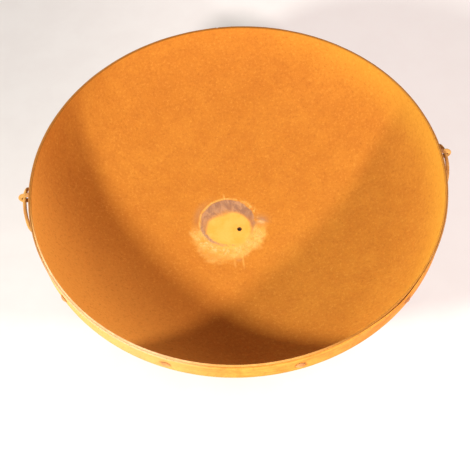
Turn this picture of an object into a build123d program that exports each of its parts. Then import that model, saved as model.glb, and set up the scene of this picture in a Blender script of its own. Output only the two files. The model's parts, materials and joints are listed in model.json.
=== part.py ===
from build123d import *

import os
from math import asin, cos, degrees, radians, sin, sqrt

# A round fire bowl of dished steel sheet. A flat-bar hoop runs round the outside, just under the
# rim, on a row of dome-headed studs. Two round-bar rings swing in lugs on the hoop and lift the
# bowl off a three-legged round-bar stand.
# Millimetres. The floor is Z = 0, +Z is up and the bowl's axis is X = Y = 0. The ring handles are
# on +X and -X. Azimuths are in degrees from the front, which is -Y, towards +X.

# Bowl
RIM_RADIUS = 400.0  # outside of the rim
RIM_HEIGHT = 460.0  # rim above the floor
SHEET = 3.0
BOWL_DEPTH = 218.0  # rim down to the inside of the bottom
CROWN_RADIUS = 700.0  # inside radius of the shallow bottom
KNUCKLE_RADIUS = 155.0  # inside radius of the wall's bend
DRAIN_RADIUS = 4.25
RIM_EDGE_RADIUS = 0.8

# Hoop
HOOP_WIDTH = 40.0
HOOP_THICKNESS = 3.0
HOOP_GAP = 0.8  # between the hoop and the rim
HOOP_DROP = 4.0  # the hoop's top edge below the rim
HOOP_CORNER_RADIUS = 0.5
SEAM_GAP = 2.5  # between the hoop's two ends, at the back
SEAM_PROUD = 0.6  # the seam bead's height over each face
SEAM_AZIMUTH = 180.0

# Studs
STUDS_EACH_HALF = 5  # between the two handles
STUD_STEP = 32.5  # degrees
STUD_START = -56.0  # azimuth of the front half's first stud
STUD_HEAD_RADIUS = 9.0
STUD_HEAD_HEIGHT = 3.5
STUD_SHANK_RADIUS = 4.0

# Ring handles
LUG_BAR_RADIUS = 4.0
LUG_BEND_RADIUS = 8.25  # of the lug bar's centreline
LUG_REACH = 14.75  # bend centre outside the rim radius
EYE_DROP = 18.5  # eye centre below the rim
RING_BAR_RADIUS = 3.5
RING_RADIUS = 42.0  # of the ring bar's centreline
RING_REACH = 15.0  # ring bar's centre outside the rim radius
RING_BEAD_RADIUS = 4.4
RING_BEAD_ANGLE = 40.0  # round the ring from its lowest point
HANDLE_SIDES = {"right": 0.0, "left": 180.0}  # turn about Z from +X

# Stand
SUPPORT_RADIUS = 245.0  # where the bowl's outside sits on the top ring
SEAT_GAP = 0.3
STAND_BAR_RADIUS = 6.0
BRACE_BAR_RADIUS = 5.0
BRACE_HEIGHT = 110.0
LEG_AZIMUTHS = {"front_right": 60.0, "back": 180.0, "front_left": 300.0}
BRACE_STARTS = {"right": 60.0, "left": 180.0, "front": 300.0}
FOOT_CIRCLE_RADIUS = 265.0
LEG_SPACING = 120.0
PAD_RADIUS = 20.0
PAD_THICKNESS = 5.0
PAD_EDGE_RADIUS = 1.5
LEG_TOP_DROP = 2.0  # leg end below the top ring's centre

# Weld beads
BEAD_ROOT = 2.2  # bead's radius beyond the bar, where it meets the plate
BEAD_TIP = 0.4  # bead's radius beyond the bar, at its far end
BEAD_LENGTH = 5.0
BEAD_SINK = 0.5  # how far a bead starts inside the plate before it is trimmed
BRACE_BEAD_RADIUS = 7.0
BEAD_ARC = 10.0  # length of brace, in degrees, that a leg's two beads are cut from

# Worked out from the sizes above
RIM_INSIDE = RIM_RADIUS - SHEET
HOOP_INSIDE = RIM_RADIUS + HOOP_GAP
HOOP_OUTSIDE = HOOP_INSIDE + HOOP_THICKNESS
HOOP_TOP = RIM_HEIGHT - HOOP_DROP
HOOP_MIDDLE = HOOP_TOP - HOOP_WIDTH / 2
EYE_HEIGHT = RIM_HEIGHT - EYE_DROP
BOTTOM_INSIDE = RIM_HEIGHT - BOWL_DEPTH
CROWN_CENTRE = Vector(0, 0, BOTTOM_INSIDE + CROWN_RADIUS)
KNUCKLE_X = RIM_INSIDE - KNUCKLE_RADIUS
KNUCKLE_CENTRE = Vector(
    KNUCKLE_X,
    0,
    CROWN_CENTRE.Z - sqrt((CROWN_RADIUS - KNUCKLE_RADIUS) ** 2 - KNUCKLE_X**2),
)
SEAT_ANGLE = asin(SUPPORT_RADIUS / (CROWN_RADIUS + SHEET))
SEAT_REACH = CROWN_RADIUS + SHEET + SEAT_GAP + STAND_BAR_RADIUS
TOP_RING_RADIUS = SEAT_REACH * sin(SEAT_ANGLE)
TOP_RING_HEIGHT = CROWN_CENTRE.Z - SEAT_REACH * cos(SEAT_ANGLE)


def at_azimuth(shape, azimuth):
    """Turn a shape made at the front, on -Y, about the bowl's axis."""
    return Rot(0, 0, azimuth) * shape


def arc_about(centre, start, end):
    """The short arc about a centre in the XZ plane, between two points the same distance away."""
    middle = (start + end) / 2 - centre
    return ThreePointArc(start, centre + middle.normalized() * (start - centre).length, end)


def crown_point(radius, x):
    """Point of a sphere about the crown's centre, at distance x from the axis."""
    return Vector(x, 0, CROWN_CENTRE.Z - sqrt(radius**2 - x**2))


def bowl_shell():
    """Dished sheet: shallow crown, tighter knuckle, short upright edge, drain hole in the middle."""
    outward = (KNUCKLE_CENTRE - CROWN_CENTRE).normalized()
    joint_inside = CROWN_CENTRE + outward * CROWN_RADIUS
    joint_outside = CROWN_CENTRE + outward * (CROWN_RADIUS + SHEET)
    drain_inside = crown_point(CROWN_RADIUS, DRAIN_RADIUS)
    drain_outside = crown_point(CROWN_RADIUS + SHEET, DRAIN_RADIUS)
    wall_inside = Vector(RIM_INSIDE, 0, KNUCKLE_CENTRE.Z)
    wall_outside = Vector(RIM_RADIUS, 0, KNUCKLE_CENTRE.Z)
    rim_inside = Vector(RIM_INSIDE, 0, RIM_HEIGHT)
    rim_outside = Vector(RIM_RADIUS, 0, RIM_HEIGHT)
    outline = [
        arc_about(CROWN_CENTRE, drain_inside, joint_inside),
        arc_about(KNUCKLE_CENTRE, joint_inside, wall_inside),
        Line(wall_inside, rim_inside),
        Line(rim_inside, rim_outside),
        Line(rim_outside, wall_outside),
        arc_about(KNUCKLE_CENTRE, wall_outside, joint_outside),
        arc_about(CROWN_CENTRE, joint_outside, drain_outside),
        Line(drain_outside, drain_inside),
    ]
    shell = revolve(make_face(outline), Axis.Z)
    rim_edges = [
        edge
        for edge in shell.edges().filter_by(GeomType.CIRCLE)
        if abs(edge.center().Z - RIM_HEIGHT) < RIM_EDGE_RADIUS
    ]
    return fillet(rim_edges, RIM_EDGE_RADIUS)


def hoop_section(extra):
    """Flat-bar section standing at the front, on -Y, grown by extra on every side."""
    section = RectangleRounded(
        HOOP_THICKNESS + 2 * extra, HOOP_WIDTH + 2 * extra, HOOP_CORNER_RADIUS
    )
    upright = Plane(
        origin=(0, -(HOOP_INSIDE + HOOP_OUTSIDE) / 2, HOOP_MIDDLE), x_dir=(0, -1, 0), z_dir=(1, 0, 0)
    )
    return upright * section


def hoop_band():
    """The rolled flat bar, open at the seam."""
    seam_turn = degrees(SEAM_GAP / HOOP_INSIDE)
    band = revolve(hoop_section(0), Axis.Z, revolution_arc=360 - seam_turn)
    return at_azimuth(band, SEAM_AZIMUTH + seam_turn / 2)


def hoop_seam_weld():
    """Bead that fills the seam between the hoop's two ends."""
    seam_turn = degrees(SEAM_GAP / HOOP_INSIDE)
    bead = revolve(hoop_section(SEAM_PROUD), Axis.Z, revolution_arc=seam_turn)
    return at_azimuth(bead, SEAM_AZIMUTH - seam_turn / 2)


def stud(azimuth):
    """Dome-headed stud through the hoop, with its shank running in to the bowl's wall."""
    cap_radius = (STUD_HEAD_RADIUS**2 + STUD_HEAD_HEIGHT**2) / (2 * STUD_HEAD_HEIGHT)
    head = Pos(0, 0, STUD_HEAD_HEIGHT - cap_radius) * Sphere(cap_radius)
    head = split(head, Plane.XY, keep=Keep.TOP)
    shank_length = HOOP_OUTSIDE - RIM_INSIDE
    shank = Pos(0, 0, -shank_length / 2) * Cylinder(STUD_SHANK_RADIUS, shank_length)
    outward = Plane(origin=(0, -HOOP_OUTSIDE, HOOP_MIDDLE), z_dir=(0, -1, 0))
    return at_azimuth(outward * (head + shank), azimuth)


def stud_azimuths():
    """The front half's row, and the same row again at the back after half a turn."""
    row = [STUD_START + STUD_STEP * index for index in range(STUDS_EACH_HALF)]
    return row + [azimuth + 180 for azimuth in row]


def round_ring(ring_radius, bar_radius, height):
    """Closed round-bar ring about Z, with the seam of its surface on top."""
    section = Plane.XZ * Pos(ring_radius, height) * Rot(0, 0, 90) * Circle(bar_radius)
    return revolve(section, Axis.Z)


def bead_collar(bar_radius):
    """Weld round a bar that stands on the XY plane, before the bar and plate are cut from it."""
    wide = bar_radius + BEAD_ROOT
    narrow = bar_radius + BEAD_TIP
    return Pos(0, 0, BEAD_LENGTH / 2 - BEAD_SINK) * Cone(wide, narrow, BEAD_LENGTH)


def lug(hoop):
    """Round bar bent into a U on its side, with both ends on the hoop's face, at +X."""
    start_x = HOOP_OUTSIDE - HOOP_THICKNESS / 2
    bend_x = RIM_RADIUS + LUG_REACH
    top = EYE_HEIGHT + LUG_BEND_RADIUS
    bottom = EYE_HEIGHT - LUG_BEND_RADIUS
    route = [
        Line((start_x, 0, top), (bend_x, 0, top)),
        ThreePointArc(
            (bend_x, 0, top), (bend_x + LUG_BEND_RADIUS, 0, EYE_HEIGHT), (bend_x, 0, bottom)
        ),
        Line((bend_x, 0, bottom), (start_x, 0, bottom)),
    ]
    section = Plane(origin=(start_x, 0, top), z_dir=(1, 0, 0)) * Circle(LUG_BAR_RADIUS)
    return sweep(section, path=Wire(route)) - hoop


def lug_welds(lug_bar, hoop):
    """One bead round each end of a lug."""
    beads = []
    for side in (1, -1):
        root = Plane(
            origin=(HOOP_OUTSIDE, 0, EYE_HEIGHT + side * LUG_BEND_RADIUS), z_dir=(1, 0, 0)
        )
        beads.append(root * bead_collar(LUG_BAR_RADIUS) - lug_bar - hoop)
    return Compound(beads)


def ring_handle():
    """Closed round-bar ring hanging in the lug at +X."""
    centre = Pos(RIM_RADIUS + RING_REACH, 0, EYE_HEIGHT - RING_RADIUS)
    return centre * Rot(0, 90, 0) * Torus(RING_RADIUS, RING_BAR_RADIUS)


def ring_weld(ring):
    """Bead round the bar where the ring was closed."""
    angle = radians(RING_BEAD_ANGLE)
    centre = Pos(
        RIM_RADIUS + RING_REACH,
        RING_RADIUS * sin(angle),
        EYE_HEIGHT - RING_RADIUS - RING_RADIUS * cos(angle),
    )
    return centre * Sphere(RING_BEAD_RADIUS) - ring


def stand_top_ring():
    """Ring that the bowl's bottom sits in."""
    return round_ring(TOP_RING_RADIUS, STAND_BAR_RADIUS, TOP_RING_HEIGHT)


def leg_plane(azimuth):
    """Plane across a leg at its foot, with Z up along the leg."""
    foot = Vector(0, -FOOT_CIRCLE_RADIUS, PAD_THICKNESS)
    top = Vector(0, -TOP_RING_RADIUS, TOP_RING_HEIGHT)
    return Plane(Rot(0, 0, azimuth) * Plane(origin=foot, z_dir=top - foot).location)


def leg_length():
    """From the pad's top to the top ring's centre, along the leg."""
    return sqrt((FOOT_CIRCLE_RADIUS - TOP_RING_RADIUS) ** 2 + (TOP_RING_HEIGHT - PAD_THICKNESS) ** 2)


def foot_pad(azimuth):
    """Flat round pad under a leg."""
    pad = Cylinder(PAD_RADIUS, PAD_THICKNESS, align=(Align.CENTER, Align.CENTER, Align.MIN))
    pad = fillet(pad.edges().filter_by(GeomType.CIRCLE).sort_by(Axis.Z)[-1], PAD_EDGE_RADIUS)
    return at_azimuth(Pos(0, -FOOT_CIRCLE_RADIUS, 0) * pad, azimuth)


def stand_leg(azimuth, top_ring, pad):
    """Straight round bar from its pad to the underside of the top ring."""
    length = leg_length() - LEG_TOP_DROP + PAD_THICKNESS / 2
    bar = Pos(0, 0, length / 2 - PAD_THICKNESS / 2) * Cylinder(STAND_BAR_RADIUS, length)
    return leg_plane(azimuth) * bar - top_ring - pad


def foot_weld(azimuth, leg, pad):
    """Bead round a leg on its pad."""
    return leg_plane(azimuth) * bead_collar(STAND_BAR_RADIUS) - leg - pad


def top_weld(azimuth, leg, top_ring):
    """Bead round a leg under the top ring."""
    underside = leg_length() - STAND_BAR_RADIUS
    collar = Pos(0, 0, underside) * Rot(180, 0, 0) * bead_collar(STAND_BAR_RADIUS)
    return leg_plane(azimuth) * collar - leg - top_ring


def brace_radius():
    """Distance of the legs' centrelines from the axis at the brace's height."""
    share = (BRACE_HEIGHT - PAD_THICKNESS) / (TOP_RING_HEIGHT - PAD_THICKNESS)
    return FOOT_CIRCLE_RADIUS + share * (TOP_RING_RADIUS - FOOT_CIRCLE_RADIUS)


def brace_arc(start_azimuth, turn):
    """Curved round bar through the legs' centrelines, before it is cut."""
    front = Plane(origin=(0, -brace_radius(), BRACE_HEIGHT), x_dir=(0, 0, 1), z_dir=(1, 0, 0))
    bar = revolve(front * Circle(BRACE_BAR_RADIUS), Axis.Z, revolution_arc=turn)
    return at_azimuth(bar, start_azimuth)


def brace_bar(start_azimuth, legs):
    """Brace between two legs, with its ends coped to them."""
    return brace_arc(start_azimuth, LEG_SPACING) - legs


def brace_welds(azimuth, leg):
    """Beads where the brace bars meet both sides of a leg."""
    bar = brace_arc(azimuth - BEAD_ARC / 2, BEAD_ARC)
    beads = []
    for side in (1, -1):
        place = Pos(side * STAND_BAR_RADIUS, -brace_radius(), BRACE_HEIGHT)
        ball = at_azimuth(place * Rot(0, 90, 0) * Sphere(BRACE_BEAD_RADIUS), azimuth)
        beads.append(ball - bar - leg)
    return beads


def one_node(shapes):
    """Separate solids that are kept as one node."""
    return Compound([solid for shape in shapes for solid in shape.solids()])


os.makedirs("parts", exist_ok=True)
nodes = {}

bowl = bowl_shell()
studs = [stud(azimuth) - bowl for azimuth in stud_azimuths()]
hoop = hoop_band()
for one_stud in studs:
    hoop -= one_stud
nodes["bowl_shell"] = bowl
nodes["rim_hoop"] = hoop
nodes["hoop_seam_weld"] = hoop_seam_weld()
nodes["hoop_studs"] = one_node(studs)

right_lug = lug(hoop)
right_lug_welds = lug_welds(right_lug, hoop)
right_ring = ring_handle()
right_ring_weld = ring_weld(right_ring)
for side, turn in HANDLE_SIDES.items():
    nodes[f"handle_lug_{side}"] = Rot(0, 0, turn) * right_lug
    nodes[f"lug_welds_{side}"] = Rot(0, 0, turn) * right_lug_welds
    nodes[f"ring_handle_{side}"] = Rot(0, 0, turn) * right_ring
    nodes[f"ring_weld_{side}"] = Rot(0, 0, turn) * right_ring_weld

top_ring = stand_top_ring()
pads = {place: foot_pad(azimuth) for place, azimuth in LEG_AZIMUTHS.items()}
legs = {
    place: stand_leg(azimuth, top_ring, pads[place]) for place, azimuth in LEG_AZIMUTHS.items()
}
braces = {place: brace_bar(start, list(legs.values())) for place, start in BRACE_STARTS.items()}
top_beads = []
foot_beads = []
brace_beads = []
for place, azimuth in LEG_AZIMUTHS.items():
    nodes[f"stand_leg_{place}"] = legs[place]
    nodes[f"foot_pad_{place}"] = pads[place]
    top_beads.append(top_weld(azimuth, legs[place], top_ring))
    foot_beads.append(foot_weld(azimuth, legs[place], pads[place]))
    brace_beads += brace_welds(azimuth, legs[place])
for place, brace in braces.items():
    nodes[f"stand_brace_{place}"] = brace
nodes["stand_top_ring"] = top_ring
nodes["stand_top_welds"] = one_node(top_beads)
nodes["stand_foot_welds"] = one_node(foot_beads)
nodes["stand_brace_welds"] = one_node(brace_beads)

for name, shape in nodes.items():
    export_step(shape, f"parts/{name}.step")
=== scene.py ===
import json
import math

import bpy
import numpy as np
from mathutils import Matrix, Vector, noise


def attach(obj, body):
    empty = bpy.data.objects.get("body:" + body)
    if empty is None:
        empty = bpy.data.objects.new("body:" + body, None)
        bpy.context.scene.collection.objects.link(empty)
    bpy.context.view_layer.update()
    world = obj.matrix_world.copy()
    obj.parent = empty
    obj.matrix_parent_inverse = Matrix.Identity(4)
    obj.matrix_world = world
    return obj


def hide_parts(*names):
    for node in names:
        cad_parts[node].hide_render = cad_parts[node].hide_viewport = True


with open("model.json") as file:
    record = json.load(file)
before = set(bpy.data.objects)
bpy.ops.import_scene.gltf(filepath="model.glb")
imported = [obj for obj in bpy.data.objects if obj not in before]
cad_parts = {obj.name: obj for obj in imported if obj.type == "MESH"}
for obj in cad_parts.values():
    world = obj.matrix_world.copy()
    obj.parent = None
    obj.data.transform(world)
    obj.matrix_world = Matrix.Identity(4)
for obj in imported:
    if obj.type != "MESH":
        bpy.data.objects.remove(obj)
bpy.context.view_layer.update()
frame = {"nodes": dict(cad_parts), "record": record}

# ---------------------------------------------------------------- sizes, in metres
RIM_RADIUS = 0.400
RIM_HEIGHT = 0.460
RIM_EDGE_RADIUS = 0.0008
SHEET = 0.003
CROWN_RADIUS = 0.700
KNUCKLE_RADIUS = 0.155
BOTTOM_INSIDE = 0.242
DRAIN_RADIUS = 0.00425

HOOP_OUTSIDE = 0.4038
HOOP_INSIDE = 0.4008
HOOP_MIDDLE = 0.436
HOOP_HALF_WIDTH = 0.020
HOOP_LOW = HOOP_MIDDLE - HOOP_HALF_WIDTH
HOOP_HIGH = HOOP_MIDDLE + HOOP_HALF_WIDTH
HOOP_CORNER = 0.0006
HOOP_SEAM_GAP = 0.0025
# Lines along the flat bar: height, half width, and how dark. The first two are also scored in.
HOOP_LINES = ((0.4480, 0.0010, 0.42), (0.4405, 0.0012, 0.32), (0.4300, 0.0016, 0.16))
HOOP_SCORED = 2
GROOVE_DEPTH, GROOVE_WIDTH = 0.00022, 0.0016
# The hoop is bent by hand. Its top rises and leans in towards the rim, and sags and leans out in
# one slack stretch at the front right. The stretch's middle and width are azimuths in degrees.
HOOP_RISE, HOOP_LEAN_IN = 0.0026, 0.0006
SLACK_MIDDLE, SLACK_WIDTH = 39, 7
SLACK_SAG, SLACK_LEAN_OUT = 0.0042, 0.0013

DEGREE = math.pi / 180
STUD_START = -56 * DEGREE
STUD_STEP = 32.5 * DEGREE
STUDS_EACH_HALF = 5

# The mark on the bowl's bottom, seen from above: a round tide line and the dust inside it
TIDE_CENTRE, TIDE_RADIUS = (-0.024, 0.018), 0.060
DUST_CENTRE, DUST_RADIUS = (-0.024, 0.002), 0.052
MARK_REACH = 0.135

# ---------------------------------------------------------------- how finely meshes are cut
BOWL_STEPS = 384
HOOP_STEPS = 640
FINE_BOTTOM = 0.118  # the bowl's inside is cut finest out to this radius

# ---------------------------------------------------------------- colours, as linear red, green, blue
COAT = {
    "plain": (0.540, 0.187, 0.0210),
    "warm": (0.575, 0.211, 0.0250),
    "patch": (0.485, 0.153, 0.0190),
    # the next three are painted light and shade: light up the right wall, shade towards the front left,
    # a light lens below the rim there
    "painted_light_right_wall": (0.630, 0.275, 0.028),
    "front_left": (0.470, 0.138, 0.0172),
    "lens": (0.73, 0.300, 0.048),
    "dark_grain": (0.36, 0.098, 0.012),
    "light_grain": (0.76, 0.36, 0.060),
}
OUTSIDE = {
    "plain": (0.39, 0.125, 0.026),
    "warm": (0.50, 0.185, 0.042),
    "run": (0.27, 0.082, 0.022),
    "patch": (0.58, 0.235, 0.055),
    "dark_grain": (0.20, 0.065, 0.022),
    "light_grain": (0.74, 0.36, 0.12),
}
MARK = {
    # stains, with the lump's painted shadow
    "stain_and_lump_shadow": (0.40, 0.20, 0.105),
    "crust_ochre": (0.72, 0.350, 0.060),
    "crust_pale": (0.77, 0.430, 0.110),
    "crust_speck": (0.50, 0.235, 0.075),
    "salt": (0.82, 0.56, 0.27),
    "dust_ochre": (0.81, 0.375, 0.058),
    "dust_pale": (0.84, 0.420, 0.085),
    "tide_dark": (0.30, 0.155, 0.100),
    "tide_pale": (0.49, 0.265, 0.145),
    # painted shade round the drain
    "drain": (0.06, 0.022, 0.010),
}
RIM = {
    # the rim edge's colours, all but the stain, are painted light and shade
    "left": (0.27, 0.092, 0.013),
    "right": (0.44, 0.185, 0.026),
    "front": (0.66, 0.335, 0.090),
    "painted_highlight": (0.76, 0.50, 0.27),
    "stain": (0.40, 0.150, 0.022),
}
HOOP = {
    "base": (0.49, 0.172, 0.021),
    "dark": (0.31, 0.098, 0.015),
    "light": (0.62, 0.262, 0.038),
    "low_edge": (0.50, 0.155, 0.022),
    # painted shade on the inner face, a painted highlight at the front left, painted shade and a
    # painted highlight on the top edge
    "painted_shade_inner_face": (0.42, 0.150, 0.030),
    "painted_highlight_side": (0.76, 0.44, 0.17),
    "painted_shade_top": (0.30, 0.125, 0.035),
    "painted_highlight_top": (0.74, 0.46, 0.25),
}
STUD = {"base": (0.34, 0.125, 0.040), "dark": (0.20, 0.068, 0.026), "light": (0.58, 0.255, 0.09)}
HANDLE = {"base": (0.44, 0.195, 0.050), "dark": (0.19, 0.075, 0.028), "light": (0.62, 0.33, 0.09)}
STAND = {"base": (0.40, 0.15, 0.045), "dark": (0.17, 0.065, 0.028), "light": (0.58, 0.26, 0.08)}
WELD = {
    "base": (0.30, 0.105, 0.032),
    "warm": (0.50, 0.20, 0.06),
    "dark": (0.13, 0.055, 0.03),
    "light": (0.68, 0.32, 0.10),
}
FLOOR = {
    "dull": (0.41, 0.395, 0.385),
    "pale": (0.43, 0.42, 0.41),
    # painted shadow under the bowl
    "painted_shadow_under_bowl": (0.05, 0.045, 0.04),
    "glow": (1.0, 0.875, 0.835, 1.0),
}


# ---------------------------------------------------------------- shader nodes
class Shader:
    """A material's node tree with one Principled shader, built from short calls."""

    def __init__(self, name, roughness, specular):
        self.material = bpy.data.materials.new(name)
        self.material.use_nodes = True
        self.tree = self.material.node_tree
        self.surface = self.tree.nodes["Principled BSDF"]
        self.surface.inputs["Roughness"].default_value = roughness
        self.surface.inputs["Specular IOR Level"].default_value = specular
        self.surface.inputs["Diffuse Roughness"].default_value = 1.0
        self.place = self.add("ShaderNodeTexCoord").outputs["Object"]
        self.x, self.y, self.z = self.add("ShaderNodeSeparateXYZ", {"Vector": self.place}).outputs

    def add(self, kind, inputs=None, **properties):
        made = self.tree.nodes.new(kind)
        for name, value in properties.items():
            setattr(made, name, value)
        for name, value in (inputs or {}).items():
            self.feed(made.inputs[name], value)
        return made

    def feed(self, socket, value):
        if isinstance(value, bpy.types.NodeSocket):
            self.tree.links.new(value, socket)
        else:
            socket.default_value = value

    def math(self, operation, a, b=0.0, c=0.0):
        made = self.add("ShaderNodeMath", operation=operation)
        for socket, value in zip(made.inputs, (a, b, c)):
            self.feed(socket, value)
        return made.outputs[0]

    def times(self, a, b):
        return self.math("MULTIPLY", a, b)

    def minus(self, a, b):
        return self.math("SUBTRACT", a, b)

    def off(self, value, centre):
        """How far a value is from a centre, either way."""
        return self.math("ABSOLUTE", self.minus(value, centre))

    def length(self, a, b):
        squares = [self.math("POWER", side, 2.0) for side in (a, b)]
        return self.math("SQRT", self.math("ADD", *squares))

    def towards(self, x_share, y_share):
        """How far a place lies in one flat direction."""
        return self.math("ADD", self.times(self.y, y_share), self.times(self.x, x_share))

    def azimuth(self):
        """The turn from the front towards +X, in radians."""
        return self.math("ARCTAN2", self.x, self.times(self.y, -1.0))

    def noise(self, scale, detail=2.0, roughness=0.5, distortion=0.0, at=None):
        inputs = {
            "Vector": at or self.place,
            "Scale": scale,
            "Detail": detail,
            "Roughness": roughness,
            "Distortion": distortion,
        }
        return self.add("ShaderNodeTexNoise", inputs).outputs["Fac"]

    def cells(self, scale):
        inputs = {"Vector": self.place, "Scale": scale}
        return self.add("ShaderNodeTexVoronoi", inputs).outputs["Distance"]

    def span(self, value, low, high, to_low=0.0, to_high=1.0, smooth=True):
        inputs = {
            "Value": value,
            "From Min": low,
            "From Max": high,
            "To Min": to_low,
            "To Max": to_high,
        }
        kind = "SMOOTHSTEP" if smooth else "LINEAR"
        made = self.add("ShaderNodeMapRange", inputs, interpolation_type=kind, clamp=True)
        return made.outputs["Result"]

    def mix(self, share, a, b):
        made = self.add("ShaderNodeMix", data_type="RGBA")
        self.feed(made.inputs[0], share)
        for socket, value in ((made.inputs[6], a), (made.inputs[7], b)):
            self.feed(socket, value if isinstance(value, bpy.types.NodeSocket) else (*value, 1.0))
        return made.outputs[2]

    def painted(self, name):
        return self.add("ShaderNodeAttribute", attribute_name=name).outputs["Fac"]

    def joined(self, x, y, z):
        return self.add("ShaderNodeCombineXYZ", {"X": x, "Y": y, "Z": z}).outputs["Vector"]

    def bump(self, layers):
        """layers: (height socket, distance in metres) pairs, from coarse to fine."""
        normal = None
        for height, distance in layers:
            inputs = {"Height": height, "Distance": distance, "Strength": 1.0}
            made = self.add("ShaderNodeBump", inputs)
            if normal is not None:
                self.feed(made.inputs["Normal"], normal)
            normal = made.outputs["Normal"]
        self.feed(self.surface.inputs["Normal"], normal)

    def paint(self, colour):
        self.feed(self.surface.inputs["Base Color"], colour)


def grain(s, scale=1.0):
    """Fine rust grain, from 0 to 1: a blotch of a few millimetres with a finer speckle over it."""
    blotch = s.noise(170 * scale, 3.0, 0.65)
    speckle = s.noise(620 * scale, 2.0, 0.7)
    both = s.math("MULTIPLY_ADD", speckle, 0.4, s.times(blotch, 0.6))
    return s.span(both, 0.32, 0.68, smooth=False)


# ---------------------------------------------------------------- the bowl's material
def inside_coat(s, cloud, patch, fine, rightward):
    """One even coat of rust with broad, soft changes up the walls, in painted light and shade."""
    coat = s.mix(cloud, COAT["plain"], COAT["warm"])
    coat = s.mix(s.times(patch, 0.45), coat, COAT["patch"])
    # painted light: yellower up the right wall
    painted_light_right_wall = s.times(s.span(s.z, 0.350, 0.452), rightward)
    coat = s.mix(s.times(painted_light_right_wall, 0.8), coat, COAT["painted_light_right_wall"])
    # painted shade, redder and darker, towards the front left, then painted light, a paler lens below
    # the rim there
    front_left = s.span(s.towards(-0.80, -0.85), 0.02, 0.30, 0.0, 0.6)
    coat = s.mix(front_left, coat, COAT["front_left"])
    lens = s.span(s.towards(-0.80, -0.60), 0.20, 0.36, 0.0, 0.88)
    coat = s.mix(lens, coat, COAT["lens"])
    coat = s.mix(s.span(fine, 0.0, 0.45, 0.50, 0.0), coat, COAT["dark_grain"])
    return s.mix(s.span(fine, 0.55, 1.0, 0.0, 0.42), coat, COAT["light_grain"])


def outside_skin(s, cloud, patch, fine, azimuth):
    """Weathered rust with rain runs down to the middle."""
    down_the_wall = s.joined(s.times(azimuth, 26.0), s.times(s.z, 6.0), 0.0)
    runs = s.noise(1.0, 3.0, 0.6, at=down_the_wall)
    skin = s.mix(cloud, OUTSIDE["plain"], OUTSIDE["warm"])
    skin = s.mix(s.span(runs, 0.45, 0.72, 0.0, 0.55), skin, OUTSIDE["run"])
    skin = s.mix(s.span(patch, 0.4, 1.0, 0.0, 0.4), skin, OUTSIDE["patch"])
    skin = s.mix(s.span(fine, 0.0, 0.45, 0.45, 0.0), skin, OUTSIDE["dark_grain"])
    return s.mix(s.span(fine, 0.6, 1.0, 0.0, 0.25), skin, OUTSIDE["light_grain"])


def drain_mark(s, colour):
    """The painted masks round the drain, each broken up by crumbs, over the bowl's colour."""
    crumbs = s.noise(260, 4.0, 0.7)
    # stains, and the lump's painted shadow
    stain_and_lump_shadow = s.times(s.painted("stain_and_lump_shadow"), s.span(crumbs, 0.25, 0.6, 0.45, 0.75))
    colour = s.mix(stain_and_lump_shadow, colour, MARK["stain_and_lump_shadow"])

    crust = s.times(s.painted("crust"), s.span(crumbs, 0.25, 0.6, 0.72, 1.0))
    crust_clouds = s.span(s.noise(60, 3.0, 0.6), 0.35, 0.65)
    pale = s.mix(crust_clouds, MARK["crust_ochre"], MARK["crust_pale"])
    specks = s.span(s.noise(420, 2.0, 0.6), 0.36, 0.50, 0.6, 0.0)
    colour = s.mix(crust, colour, s.mix(specks, pale, MARK["crust_speck"]))

    salt = s.times(s.painted("salt"), s.span(crumbs, 0.35, 0.6, 0.35, 0.65))
    colour = s.mix(salt, colour, MARK["salt"])

    dust = s.times(s.painted("dust"), s.span(crumbs, 0.25, 0.5, 0.86, 1.0))
    dust_clouds = s.span(s.noise(48, 3.0, 0.6), 0.35, 0.65)
    colour = s.mix(dust, colour, s.mix(dust_clouds, MARK["dust_ochre"], MARK["dust_pale"]))

    tide = s.times(s.painted("tide"), s.span(crumbs, 0.3, 0.62, 0.98, 0.78))
    drift = s.noise(70, 4.0, 0.65, 1.2, at=s.joined(s.x, s.times(s.y, 0.45), s.z))
    mauve = s.mix(s.span(drift, 0.36, 0.64), MARK["tide_dark"], MARK["tide_pale"])
    colour = s.mix(tide, colour, mauve)

    from_axis = s.length(s.x, s.y)
    # painted shade: a near-black ring just round the drain
    painted_shade_drain_edge = s.span(from_axis, DRAIN_RADIUS + 0.00045, DRAIN_RADIUS + 0.00195, 0.85, 0.0)
    return s.mix(painted_shade_drain_edge, colour, MARK["drain"])


def rim_edge_colour(s, azimuth, rightward):
    """The sheet's top edge in painted light and shade: dark on the left, lighter on the right, pale at
    the front with a painted highlight at the front left, and stained.
    """
    painted_light_front = s.span(s.off(azimuth, -32 * DEGREE), 38 * DEGREE, 57 * DEGREE, 1.0, 0.0)
    painted_highlight_edge = s.span(s.off(azimuth, -45 * DEGREE), 16 * DEGREE, 38 * DEGREE, 1.0, 0.0)
    stains = s.span(s.noise(60, 3.0, 0.7), 0.35, 0.6, 0.0, 0.3)
    # painted shade on the left, painted light on the right and front, and a painted highlight at the
    # front left
    colour = s.mix(rightward, RIM["left"], RIM["right"])
    colour = s.mix(painted_light_front, colour, RIM["front"])
    colour = s.mix(painted_highlight_edge, colour, RIM["painted_highlight"])
    return s.mix(stains, colour, RIM["stain"])


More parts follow.
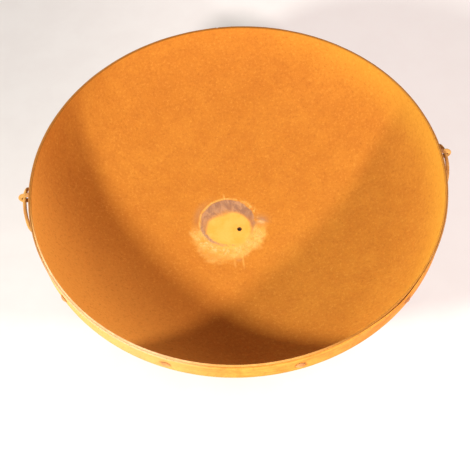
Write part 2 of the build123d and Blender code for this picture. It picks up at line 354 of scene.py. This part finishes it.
def bowl_material():
    s = Shader("bowl_rust_skin", roughness=0.9, specular=0.12)
    fine = grain(s)
    cloud = s.span(s.noise(9, 4.0, 0.55, 0.6), 0.3, 0.7)
    patch = s.span(s.noise(32, 4.0, 0.6, 0.3), 0.35, 0.7)
    azimuth = s.azimuth()
    rightward = s.span(s.x, 0.05, 0.36)
    coat = inside_coat(s, cloud, patch, fine, rightward)
    skin = outside_skin(s, cloud, patch, fine, azimuth)
    colour = drain_mark(s, s.mix(s.painted("inside"), skin, coat))
    edge = s.times(s.painted("edge"), 0.9)
    s.paint(s.mix(edge, colour, rim_edge_colour(s, azimuth, rightward)))
    s.bump([(cloud, 0.0006), (patch, 0.0003), (fine, 0.00022)])
    return s.material


# ---------------------------------------------------------------- the bars' and welds' materials
def bar_shader(name):
    """A bar's shader and its mottling, from 0 to 1."""
    s = Shader(name, roughness=0.85, specular=0.18)
    return s, s.span(s.noise(24, 4.0, 0.6, 0.4), 0.32, 0.68)


def finish_bar(s, cloud, colour, rust):
    """Grain, pits and light dust over a bar's colour, and the bumps that go with them."""
    bump = 0.00018
    fine = grain(s)
    pits = s.span(s.cells(300), 0.0, 0.30, 1.0, 0.0)
    colour = s.mix(s.span(fine, 0.0, 0.42, 0.6, 0.0), colour, rust["dark"])
    colour = s.mix(s.times(pits, s.span(cloud, 0.2, 0.9, 0.7, 0.15)), colour, rust["dark"])
    colour = s.mix(s.span(fine, 0.62, 1.0, 0.0, 0.45), colour, rust["light"])
    s.paint(colour)
    s.bump([(cloud, bump * 1.5), (pits, -bump), (fine, bump)])
    return s.material


def bar_material(name, rust):
    s, cloud = bar_shader(name)
    return finish_bar(s, cloud, s.mix(cloud, rust["base"], rust["light"]), rust)


def hoop_streaks(s, colour, azimuth):
    """Streaks and a few wandering lines that run along the flat bar."""
    stretched = s.joined(s.times(azimuth, 0.02), s.times(s.z, 1.4), 0.0)
    streaks = s.span(s.noise(330, 3.0, 0.6, at=stretched), 0.38, 0.66)
    colour = s.mix(s.times(streaks, 0.30), colour, HOOP["dark"])
    unrolled = s.joined(s.times(azimuth, 0.10), s.z, 0.0)
    wander = s.times(s.minus(s.noise(14, 2.0, 0.5, at=unrolled), 0.5), 0.004)
    faded = s.span(s.noise(30, 3.0, 0.6, at=unrolled), 0.35, 0.6, 0.25, 1.0)
    for height, half_width, share in HOOP_LINES:
        line = s.span(s.off(s.math("ADD", s.z, wander), height), 0.0, half_width, share, 0.0)
        colour = s.mix(s.times(line, faded), colour, HOOP["dark"])
    return colour


def stud_halo(s, azimuth):
    """A dark stain on the bar just round each stud of the two rows, 0 elsewhere."""
    row_start = STUD_START - STUD_STEP / 2
    in_half = s.math("WRAP", azimuth, row_start + math.pi, row_start)
    turn = s.minus(in_half, STUD_START)
    from_stud = s.math("WRAP", turn, STUD_STEP / 2, -STUD_STEP / 2)
    in_row = s.math("LESS_THAN", turn, STUD_STEP * (STUDS_EACH_HALF - 0.5))
    reach = s.length(s.times(from_stud, HOOP_OUTSIDE), s.minus(s.z, HOOP_MIDDLE))
    return s.times(s.span(reach, 0.0085, 0.0125, 0.55, 0.0), in_row)


def hoop_material():
    """The hoop's flat bar: streaked, with a painted highlight at the front left, painted shade on its
    inner face and on its top edge towards the handles, worn along its edges.
    """
    s, cloud = bar_shader("hoop_rust_bar")
    azimuth = s.azimuth()
    from_painted_highlight = s.off(azimuth, -42 * DEGREE)
    colour = hoop_streaks(s, s.mix(cloud, HOOP["base"], HOOP["light"]), azimuth)
    low_edge = s.span(s.z, HOOP_LOW, HOOP_LOW + 0.012, 0.35, 0.0)
    colour = s.mix(low_edge, colour, HOOP["low_edge"])
    # painted shade: the inner face, in the crevice against the bowl, is a little darker than the bar
    colour = s.mix(s.painted("face"), HOOP["painted_shade_inner_face"], colour)
    # painted highlight: paler round the front left, where the key lamp faces
    painted_highlight_side = s.span(from_painted_highlight, 6 * DEGREE, 38 * DEGREE, 0.45, 0.0)
    colour = s.mix(painted_highlight_side, colour, HOOP["painted_highlight_side"])
    # both long edges are worn
    from_middle = s.off(s.z, HOOP_MIDDLE)
    edge = s.span(from_middle, HOOP_HALF_WIDTH - 0.0022, HOOP_HALF_WIDTH - 0.0006)
    worn = s.times(edge, s.span(s.noise(45, 3.0, 0.7), 0.35, 0.55, 0.3, 0.9))
    colour = s.mix(worn, colour, HOOP["light"])
    # the top edge: painted shade towards the handles and a painted highlight at the front left
    top = s.painted("top")
    away = s.span(s.math("ABSOLUTE", azimuth), 42 * DEGREE, 58 * DEGREE, 0.0, 0.8)
    colour = s.mix(s.times(away, top), colour, HOOP["painted_shade_top"])
    painted_highlight = s.span(from_painted_highlight, 12 * DEGREE, 34 * DEGREE, 0.8, 0.0)
    colour = s.mix(s.times(painted_highlight, top), colour, HOOP["painted_highlight_top"])
    halo = s.times(stud_halo(s, azimuth), s.span(cloud, 0.0, 1.0, 0.6, 1.0))
    return finish_bar(s, cloud, s.mix(halo, colour, HOOP["dark"]), HOOP)


def weld_material():
    s = Shader("weld_rust_bead", roughness=0.7, specular=0.3)
    fine = grain(s, scale=1.4)
    cloud = s.span(s.noise(90, 3.0, 0.6), 0.35, 0.65)
    colour = s.mix(cloud, WELD["base"], WELD["warm"])
    colour = s.mix(s.span(fine, 0.0, 0.45, 0.7, 0.0), colour, WELD["dark"])
    s.paint(s.mix(s.span(fine, 0.65, 1.0, 0.0, 0.5), colour, WELD["light"]))
    s.bump([(cloud, 0.0003), (fine, 0.00012)])
    return s.material


def floor_material():
    """A pale floor with a painted glow that keeps shadows soft, and painted shadow under the bowl,
    where there is no glow.
    """
    s = Shader("studio_floor", roughness=0.95, specular=0.1)
    behind_bowl = 0.15
    core_x, core_y = 0.085, 0.87
    tooth = s.span(s.noise(9, 3.0, 0.6), 0.3, 0.7)
    away = s.length(s.x, s.minus(s.y, behind_bowl))
    # painted shadow: the floor is darker under the bowl
    painted_shadow_under_bowl = s.span(away, 0.04, 0.34, 0.9, 0.0)
    s.paint(s.mix(painted_shadow_under_bowl, s.mix(tooth, FLOOR["dull"], FLOOR["pale"]), FLOOR["painted_shadow_under_bowl"]))
    # the glow is dimmed in painted shade towards the back left, and in a painted shadow where the bowl
    # hides both lamps
    glow = s.span(away, 0.20, 0.50, 0.0, 0.595)
    painted_shade_back_left = s.times(s.span(s.x, -0.75, 0.15, 0.34, 0.0), s.span(s.y, -0.2, 0.8, 0.35, 1.0))
    from_core = s.length(s.minus(s.x, core_x), s.minus(s.y, core_y))
    painted_double_shadow = s.span(from_core, 0.03, 0.17, 0.35, 1.0)
    s.feed(s.surface.inputs["Emission Color"], FLOOR["glow"])
    strength = s.times(s.times(glow, s.minus(1.0, painted_shade_back_left)), painted_double_shadow)
    s.feed(s.surface.inputs["Emission Strength"], strength)
    return s.material


# ---------------------------------------------------------------- shared helpers for shapes
def steps(start, end, size):
    """Evenly spaced values from start to end, about size apart."""
    count = max(1, round(abs(end - start) / size))
    return np.linspace(start, end, count + 1)


def soft_step(value, low, high):
    t = np.clip((value - low) / (high - low), 0, 1)
    return t * t * (3 - 2 * t)


def bell(off, width):
    """1 where off is 0, falling off to both sides."""
    return np.exp(-((off / width) ** 2))


def fractal_field(x, y, scale, seed, octaves=4):
    """Smooth random values, about -1 to 1, at many points of a plane."""
    places = (Vector((a * scale, b * scale, seed)) for a, b in zip(x, y))
    return np.array([noise.fractal(place, 0.9, 2.0, octaves) for place in places])


def make_piece(name, verts, faces, painted, material):
    """A smooth mesh object. painted holds one value per vertex for each named mask."""
    mesh = bpy.data.meshes.new(name)
    mesh.from_pydata(verts.tolist(), [], faces)
    mesh.update()
    for mask, values in painted.items():
        attribute = mesh.attributes.new(mask, "FLOAT", "POINT")
        attribute.data.foreach_set("value", values.astype(np.float32))
    mesh.shade_smooth()
    mesh.materials.append(material)
    made = bpy.data.objects.new(name, mesh)
    bpy.context.scene.collection.objects.link(made)
    return made


# ---------------------------------------------------------------- the bowl
def bowl_profile():
    """The section's closed outline: rows of r, z, and 1 on the inside or 0 on the outside."""
    crown_z = BOTTOM_INSIDE + CROWN_RADIUS
    knuckle_r = RIM_RADIUS - SHEET - KNUCKLE_RADIUS
    middle_distance = CROWN_RADIUS - KNUCKLE_RADIUS
    joint = math.asin(knuckle_r / middle_distance)
    knuckle_z = crown_z - math.sqrt(middle_distance**2 - knuckle_r**2)
    rows = []

    def crown(radius, turns, side):
        for t in turns:
            rows.append((radius * math.sin(t), crown_z - radius * math.cos(t), side))

    def knuckle(radius, turns, side):
        for t in turns:
            rows.append((knuckle_r + radius * math.sin(t), knuckle_z - radius * math.cos(t), side))

    # inside, from the drain up: finest where the mark lies
    drain = DRAIN_RADIUS / CROWN_RADIUS
    fine_end = FINE_BOTTOM / CROWN_RADIUS
    crown(CROWN_RADIUS, steps(drain, fine_end, 0.0013 / CROWN_RADIUS), 1)
    crown(CROWN_RADIUS, steps(fine_end, joint, 0.0045 / CROWN_RADIUS)[1:], 1)
    knuckle(KNUCKLE_RADIUS, steps(joint, math.pi / 2, 0.0042 / KNUCKLE_RADIUS)[1:], 1)
    # over the rounded rim
    edge = RIM_EDGE_RADIUS
    inside, edge_z = RIM_RADIUS - SHEET, RIM_HEIGHT - RIM_EDGE_RADIUS
    rows.extend((inside, z, 1) for z in steps(knuckle_z, edge_z, 0.002)[1:])
    for t in steps(0, math.pi / 2, math.pi / 8)[1:]:
        rows.append((inside + edge - edge * math.cos(t), edge_z + edge * math.sin(t), 1))
    for t in steps(0, math.pi / 2, math.pi / 8):
        rows.append((RIM_RADIUS - edge + edge * math.sin(t), edge_z + edge * math.cos(t), 0))
    # outside, back down to the drain
    near_drain = 0.012 / CROWN_RADIUS
    rows.extend((RIM_RADIUS, z, 0) for z in steps(edge_z, knuckle_z, 0.003)[1:])
    knuckle(KNUCKLE_RADIUS + SHEET, steps(math.pi / 2, joint, 0.008 / KNUCKLE_RADIUS)[1:], 0)
    crown(CROWN_RADIUS + SHEET, steps(joint, near_drain, 0.009 / CROWN_RADIUS)[1:], 0)
    crown(CROWN_RADIUS + SHEET, steps(near_drain, drain, 0.004 / CROWN_RADIUS)[1:], 0)
    return np.array(rows)


class DrainMark:
    """What lies round the drain, at points of the bowl's bottom: masks of about 0 to 1."""

    def __init__(self, x, y):
        self.x, self.y = x, y
        self.wobble = fractal_field(x, y, 42, 3.1)
        self.crumbs = fractal_field(x, y, 150, 7.7)
        self.flakes = fractal_field(x, y, 380, 1.3, 2)
        dx, dy = x - TIDE_CENTRE[0], y - TIDE_CENTRE[1]
        self.angle = np.degrees(np.arctan2(dy, dx)) % 360
        self.plain = np.hypot(dx, dy)
        self.from_line = self.plain + 0.0016 * self.wobble + 0.0006 * self.crumbs - TIDE_RADIUS

    def near(self, direction, width):
        """1 in this direction from the tide line's centre, in degrees from +X, less to both sides."""
        return bell((self.angle - direction + 180) % 360 - 180, width)

    def dust(self):
        """Yellow dust that fades out towards its upper side."""
        plain = np.hypot(self.x - DUST_CENTRE[0], self.y - DUST_CENTRE[1])
        reach = plain + 0.0022 * self.wobble + 0.0009 * self.crumbs
        feather = 0.007 + 0.014 * self.near(110, 50)
        return 1 - soft_step(reach, DUST_RADIUS - feather, DUST_RADIUS + 0.003)

    def tide(self, dust):
        """The dark film inside the tide line, and the line itself and its dots on the lower side."""
        within = 1 - soft_step(self.from_line, -0.0012, 0.0016)
        high_side = np.clip(self.near(125, 85) + self.near(40, 40), 0, 1)
        film = within * (1 - dust) * (0.25 + 0.75 * high_side)
        line = bell(self.from_line + 0.0015, 0.0036) * self.near(210, 36)
        line *= soft_step(self.crumbs, -0.9, -0.2)
        dots = bell(self.from_line + 0.0008, 0.0024) * self.near(262, 22)
        dots *= soft_step(self.flakes, 0.0, 0.4)
        return np.clip(np.maximum(film, 1.6 * line + 1.2 * dots), 0, 1)

    def halo(self):
        """The pale line just outside the tide line, round its upper side, and its clumps."""
        width = 0.0020 + 0.0010 * self.wobble + 0.0040 * self.near(32, 26)
        out = 0.0026 + 0.0036 * self.near(32, 28)
        halo = bell(self.from_line - out, np.maximum(width, 0.0009))
        halo *= np.clip(self.near(115, 75) + self.near(185, 25), 0, 1)
        halo *= soft_step(self.wobble + 0.4 * self.crumbs, -0.9, -0.1)
        clumps = bell(self.from_line - 0.0055, 0.0054) * self.near(30, 26)
        clumps *= soft_step(self.crumbs + 0.3 * self.flakes, -0.35, 0.15)
        return np.maximum(halo, clumps)

    def fan(self):
        """Where crust spreads from the tide line, on its lower side."""
        reach = 0.093 + 0.018 * self.near(250, 34) + 0.004 * self.near(315, 25)
        reach += 0.007 * self.wobble + 0.004 * self.crumbs
        low_side = soft_step(self.angle, 176, 204) * (1 - soft_step(self.angle, 338, 356))
        fan = (1 - soft_step(self.plain, reach - 0.012, reach + 0.002)) * low_side
        return fan * soft_step(self.from_line, -0.006, 0.001)

    def drips(self):
        """Two thin runs below the fan and one spike above the mark."""
        x, y = self.x, self.y
        runs = 0.7 * bell(x + 0.019, 0.0024) * (1 - soft_step(-y, 0.090, 0.104))
        runs += bell(x + 0.001, 0.0020) * (1 - soft_step(-y, 0.092, 0.112))
        runs *= soft_step(-y, 0.062, 0.070) * 0.6
        spike = 0.7 * bell(x + 0.026 + 0.1 * (y - 0.09), 0.0016)
        spike *= soft_step(y, 0.078, 0.082) * (1 - soft_step(y, 0.088, 0.098))
        return runs + spike

    def crust(self, halo, fan):
        inner = 1 - soft_step(self.plain, 0.080 + 0.006 * self.wobble, 0.094)
        body = 0.50 + 0.40 * inner + 0.12 * self.crumbs + 0.30 * self.near(315, 34)
        return np.clip(halo + fan * body + self.drips(), 0, 1)

    def blob(self):
        """One pale lump at the mark's right."""
        dx = self.x - 0.050
        return bell(np.hypot(dx / 1.6, self.y - 0.0115 + 0.25 * dx), 0.0052)

    def salt(self, halo, fan, blob):
        """Whitish flecks in the fan and on the halo, and the lump."""
        salt = fan * bell(self.plain - 0.073, 0.010)
        salt *= soft_step(self.crumbs + 0.6 * self.flakes, 0.05, 0.55)
        salt *= 0.25 + 0.50 * self.near(255, 45) + 0.45 * self.near(208, 24)
        return salt + 0.5 * halo * soft_step(self.flakes, 0.1, 0.5) + blob

    def stain_and_lump_shadow(self):
        """Painted shadow round the lump, mostly above it and to its left, and dull stains left of the
        mark and below it.
        """
        x, y = self.x, self.y
        painted_shadow_side = soft_step(y + 0.6 * (x - 0.049), 0.014, 0.019)
        # painted shadow of the lump, above it and to its left
        stain_and_lump_shadow = 1.3 * bell(np.hypot(x - 0.049, y - 0.013), 0.014) * painted_shadow_side
        stain_and_lump_shadow += 0.9 * bell(np.hypot((x - 0.034) / 1.5, y - 0.010), 0.0050)
        # dull stains left of the mark and below it
        stain_and_lump_shadow += 0.55 * bell(self.plain - 0.070, 0.008) * self.near(155, 28)
        stain_and_lump_shadow += 0.5 * bell(np.hypot((x + 0.010) * 1.6, (y + 0.080) * 2.2), 0.010)
        return stain_and_lump_shadow


def deposits(x, y):
    """Dust, tide, crust, salt, and stains with the lump's painted shadow round the drain, and how thick
    they lie, in metres.
    """
    mark = DrainMark(x, y)
    dust, halo, fan, blob = mark.dust(), mark.halo(), mark.fan(), mark.blob()
    masks = {
        "dust": dust,
        "tide": mark.tide(dust),
        "crust": mark.crust(halo, fan),
        "salt": mark.salt(halo, fan, blob),
        "stain_and_lump_shadow": mark.stain_and_lump_shadow(),
    }
    masks = {name: np.clip(mask, 0, 1) for name, mask in masks.items()}
    height = 0.00035 * dust * (0.7 + 0.3 * mark.crumbs)
    height += 0.0007 * masks["crust"] * (0.6 + 0.4 * mark.crumbs)
    height += 0.0016 * blob + 0.0005 * masks["salt"] + 0.0003 * masks["tide"] * mark.crumbs
    return masks, np.maximum(height, 0)


def build_bowl():
    profile = bowl_profile()
    rings = len(profile)
    r, z, side = (np.repeat(profile[:, k], BOWL_STEPS) for k in range(3))
    turn = np.tile(np.arange(BOWL_STEPS) * 2 * math.pi / BOWL_STEPS, rings)
    x, y = r * np.cos(turn), r * np.sin(turn)
    bottom = np.flatnonzero((side > 0) & (r < MARK_REACH))
    masks, height = deposits(x[bottom], y[bottom])
    z[bottom] += height * soft_step(r[bottom], DRAIN_RADIUS, DRAIN_RADIUS + 0.003)
    on_edge = (z > RIM_HEIGHT - RIM_EDGE_RADIUS * 1.02) & (r > RIM_RADIUS - 0.01)
    painted = {"inside": side, "edge": on_edge.astype(float)}
    for name, mask in masks.items():
        painted[name] = np.zeros(len(r))
        painted[name][bottom] = mask

    ring = np.arange(rings)[:, None] * BOWL_STEPS
    next_ring = (np.arange(rings) + 1)[:, None] % rings * BOWL_STEPS
    step = np.arange(BOWL_STEPS)[None, :]
    next_step = (step + 1) % BOWL_STEPS
    corners = [ring + step, ring + next_step, next_ring + next_step, next_ring + step]
    quads = np.stack(corners, -1).reshape(-1, 4).tolist()
    bowl = make_piece("bowl_skin", np.stack([x, y, z], 1), quads, painted, bowl_material())
    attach(bowl, "bowl")
    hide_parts("bowl_shell")


# ---------------------------------------------------------------- the hoop
def hoop_profile():
    """The flat bar's closed, rounded section: rows of r, z, then 1 on the outer face and the top
    corners or 0 elsewhere, then 1 on the top corners or 0 elsewhere."""
    low, high = HOOP_LOW + HOOP_CORNER, HOOP_HIGH - HOOP_CORNER
    outside, inside = HOOP_OUTSIDE - HOOP_CORNER, HOOP_INSIDE + HOOP_CORNER
    rows = []

    def corner(r, z, start, face, top):
        for t in (start, start + math.pi / 4, start + math.pi / 2):
            rows.append((r + HOOP_CORNER * math.cos(t), z + HOOP_CORNER * math.sin(t), face, top))

    rows.extend((HOOP_OUTSIDE, z, 1, 0) for z in steps(low, high, 0.0022)[1:-1])
    corner(outside, high, 0, 1, 1)
    corner(inside, high, math.pi / 2, 1, 1)
    rows.extend((HOOP_INSIDE, z, 0, 0) for z in steps(high, low, 0.006)[1:-1])
    corner(inside, low, math.pi, 0, 0)
    corner(outside, low, 1.5 * math.pi, 1, 0)
    return np.array(rows)


def bent_by_hand(turn, r, z, face):
    """The bar's points: close to the rim, but dipping and leaning out at the front right."""
    slack = bell(np.degrees(turn) - SLACK_MIDDLE, SLACK_WIDTH)
    lean = SLACK_LEAN_OUT * slack - HOOP_LEAN_IN
    rise = HOOP_RISE - SLACK_SAG * slack
    up = np.clip((z - HOOP_LOW) / (HOOP_HIGH - HOOP_LOW), 0, 1)
    flat = list(zip(HOOP_OUTSIDE * np.sin(turn), -HOOP_OUTSIDE * np.cos(turn), z))
    waves = np.array([noise.fractal(Vector((a * 22, b * 22, c * 40)), 0.9, 2.0, 3) for a, b, c in flat])
    pits = np.array([noise.noise(Vector((a * 260, b * 260, c * 260))) for a, b, c in flat])
    groove = sum(bell(z - height, GROOVE_WIDTH) for height, _, _ in HOOP_LINES[:HOOP_SCORED])
    r = r + lean * up + 0.00016 * waves + face * (0.00007 * pits - GROOVE_DEPTH * groove)
    return np.stack([r * np.sin(turn), -r * np.cos(turn), z + rise * up + 0.0002 * waves], 1)


def build_hoop():
    """The hoop, open at the back by the seam that its weld fills."""
    profile = hoop_profile()
    rows = len(profile)
    half_gap = HOOP_SEAM_GAP / 2 / HOOP_INSIDE
    turn = np.repeat(np.linspace(-math.pi + half_gap, math.pi - half_gap, HOOP_STEPS), rows)
    r, z, face, top = (np.tile(profile[:, k], HOOP_STEPS) for k in range(4))
    verts = bent_by_hand(turn, r, z, face)

    here = np.arange(HOOP_STEPS - 1)[:, None] * rows
    beyond = here + rows
    row = np.arange(rows)[None, :]
    next_row = (row + 1) % rows
    corners = [here + row, beyond + row, beyond + next_row, here + next_row]
    quads = np.stack(corners, -1).reshape(-1, 4).tolist()
    last = (HOOP_STEPS - 1) * rows
    ends = [list(range(rows)), list(range(last, last + rows))[::-1]]
    hoop = make_piece("hoop_bar", verts, quads + ends, {"face": face, "top": top}, hoop_material())
    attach(hoop, "bowl")
    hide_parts("rim_hoop")


# ---------------------------------------------------------------- the pieces that keep their CAD shape
def roughen(nodes, voxel, layers, outward=0.4):
    """Pitted and lumpy surface: each layer is a feature size and a depth, in metres.

    outward is the share of a layer's depth that may stand out from the CAD surface.
    """
    for name in nodes:
        node = frame["nodes"][name]
        remesh = node.modifiers.new("even_faces", "REMESH")
        remesh.mode = "VOXEL"
        remesh.voxel_size = voxel
        remesh.use_smooth_shade = True
        for size, depth in layers:
            texture = bpy.data.textures.new("lumps", "CLOUDS")
            texture.noise_scale = size
            texture.noise_depth = 2
            lumps = node.modifiers.new("lumps", "DISPLACE")
            lumps.texture = texture
            lumps.texture_coords = "LOCAL"
            lumps.strength = depth
            lumps.mid_level = 1 - outward


def give(nodes, material):
    """A CAD node that keeps its shape takes this material."""
    for name in nodes:
        mesh = frame["nodes"][name].data
        mesh.materials.clear()
        mesh.materials.append(material)


def nodes_by_slot():
    found = {}
    for part in frame["record"]["subparts"]:
        found.setdefault(part["material_slot"], []).append(part["node"])
    return found


build_bowl()
build_hoop()
by_slot = nodes_by_slot()
give(by_slot["stud_rust"], bar_material("stud_rust_head", STUD))
give(by_slot["handle_rust"], bar_material("handle_rust_bar", HANDLE))
give(by_slot["stand_rust"], bar_material("stand_rust_bar", STAND))
give(by_slot["weld_rust"], weld_material())
roughen(by_slot["weld_rust"], 0.00045, [(0.0024, 0.0007), (0.0009, 0.0003)], outward=0.2)
roughen(by_slot["stud_rust"], 0.0007, [(0.006, 0.0006), (0.0016, 0.0003)])
roughen(by_slot["handle_rust"], 0.0007, [(0.010, 0.0005), (0.0022, 0.0003)])
stand_bars = [name for name in by_slot["stand_rust"] if "pad" not in name]
roughen(stand_bars, 0.0014, [(0.020, 0.0007), (0.0040, 0.0004)])


# ---------------------------------------------------------------- floor, light and camera
def build_floor():
    half = 6.0
    corners = np.array([(-half, -half, 0), (half, -half, 0), (half, half, 0), (-half, half, 0)])
    floor = make_piece("studio_floor", corners, [(0, 1, 2, 3)], {}, floor_material())


def direction(azimuth, elevation):
    """A unit vector from angles in radians. Azimuth is from the front towards +X."""
    level = math.cos(elevation)
    return Vector((math.sin(azimuth) * level, -math.cos(azimuth) * level, math.sin(elevation)))


def lamp(name, azimuth, elevation, distance, size, power, colour):
    """A round soft box that looks at the middle of the bowl's mouth. Its angles are in degrees."""
    away = direction(azimuth * DEGREE, elevation * DEGREE)
    data = bpy.data.lights.new(name, "AREA")
    data.shape = "DISK"
    data.size = size
    data.energy = power
    data.color = colour
    made = bpy.data.objects.new(name, data)
    bpy.context.scene.collection.objects.link(made)
    made.location = Vector((0, 0, RIM_HEIGHT)) + away * distance
    made.rotation_euler = away.to_track_quat("Z", "Y").to_euler()


def build_camera():
    """A standing person's view over the rim, aimed a little past the mouth's centre."""
    azimuth, elevation, distance = -3.85 * DEGREE, 53.06 * DEGREE, 1.3253
    pan, tilt, roll = -0.402 * DEGREE, -5.469 * DEGREE, -3.587 * DEGREE
    back = direction(azimuth, elevation)
    up = Vector((0, 0, 1))
    right = (-back).cross(up).normalized()
    aim = (-back + math.tan(pan) * right + math.tan(tilt) * right.cross(-back)).normalized()
    level = aim.cross(up).normalized()
    upright = level.cross(aim)
    across = math.cos(roll) * level + math.sin(roll) * upright
    over = -math.sin(roll) * level + math.cos(roll) * upright
    data = bpy.data.cameras.new("camera")
    data.sensor_width = 36
    data.lens = 52.09
    camera = bpy.data.objects.new("camera", data)
    bpy.context.scene.collection.objects.link(camera)
    camera.location = Vector((0, 0, RIM_HEIGHT)) + back * distance
    camera.rotation_euler = Matrix((across, over, -aim)).transposed().to_euler()
    bpy.context.scene.camera = camera


def build_world(horizon, overhead):
    """A warm room: pale walls low down and a dimmer ceiling."""
    world = bpy.data.worlds.new("studio")
    bpy.context.scene.world = world
    world.use_nodes = True
    tree = world.node_tree
    background = tree.nodes["Background"]
    background.inputs["Color"].default_value = (1.0, 0.89, 0.86, 1)
    way = tree.nodes.new("ShaderNodeTexCoord").outputs["Generated"]
    parts = tree.nodes.new("ShaderNodeSeparateXYZ")
    tree.links.new(way, parts.inputs[0])

    def step(low, high, to_low, to_high):
        """A soft step with the height of the way looked at, from -1 straight down to 1 straight up."""
        made = tree.nodes.new("ShaderNodeMapRange")
        made.interpolation_type = "SMOOTHSTEP"
        tree.links.new(parts.outputs["Z"], made.inputs["Value"])
        made.inputs["From Min"].default_value = low
        made.inputs["From Max"].default_value = high
        made.inputs["To Min"].default_value = to_low
        made.inputs["To Max"].default_value = to_high
        return made.outputs["Result"]

    def join(operation, a, b):
        made = tree.nodes.new("ShaderNodeMath")
        made.operation = operation
        tree.links.new(a, made.inputs[0])
        tree.links.new(b, made.inputs[1])
        return made.outputs[0]

    walls = join("MULTIPLY", step(0.0, 0.16, 0.55, horizon), step(0.32, 0.48, 1.0, 0.1))
    strength = join("ADD", walls, step(0.50, 0.75, 0.0, overhead))
    tree.links.new(strength, background.inputs["Strength"])


build_floor()
lamp("key", -48.4, 34.0, distance=2.04, size=0.22, power=59.5, colour=(0.94, 1.0, 0.93))
lamp("fill", 38.0, 28.0, distance=1.5, size=0.10, power=18.5, colour=(1.0, 0.91, 0.87))
build_world(horizon=1.25, overhead=0.31)
build_camera()
bpy.context.scene.view_settings.view_transform = "Standard"
